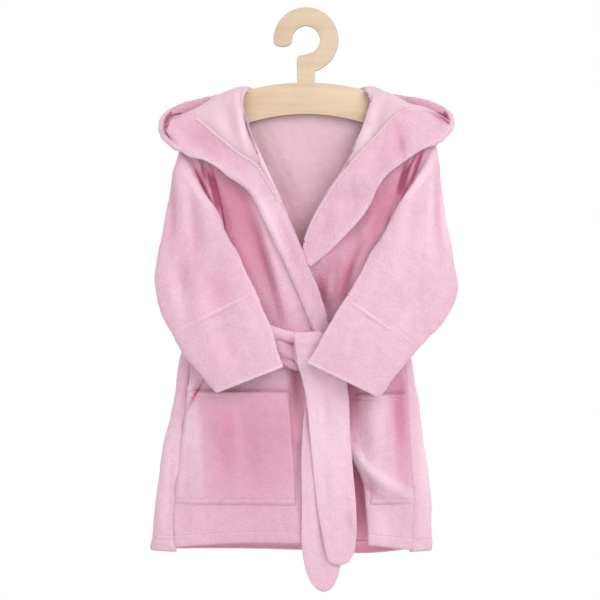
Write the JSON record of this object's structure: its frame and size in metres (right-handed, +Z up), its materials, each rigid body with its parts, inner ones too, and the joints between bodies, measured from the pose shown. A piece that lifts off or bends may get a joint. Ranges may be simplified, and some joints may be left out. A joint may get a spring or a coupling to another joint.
{
  "type": "child's hooded bathrobe on a hanger",
  "caption": "Child's hooded terry bathrobe with turned-back front facing, patch pockets and a tied belt, hanging on a flat plywood hanger.",
  "frame": {"origin": "inner top of the hanger's hook, in the middle of the plywood, where a rail carries it", "axes": "+Z up, -Y out of the robe's front, +X towards the wearer's left"},
  "size_m": [0.3692, 0.0966, 0.7002],
  "materials": {
    "terry": "soft matte cotton terry loops",
    "hood_terry": "soft matte cotton, the cloth's flatter wrong side",
    "birch_plywood": "bare sanded plywood with darker cut edges"
  },
  "bodies": {
    "root": {"hanger": "birch_plywood", "back": "terry", "front_right": "terry", "front_left": "terry", "sleeve_right": "terry", "sleeve_left": "terry", "hood_right": "hood_terry", "hood_left": "hood_terry", "hood_facing_right": "terry", "hood_facing_left": "terry", "lapel_right": "terry", "lapel_left": "terry", "pocket_right": "terry", "pocket_left": "terry", "belt_waist": "terry", "belt_knot": "terry", "belt_front_end": "terry", "belt_rear_end": "terry"}
  },
  "joints": []
}
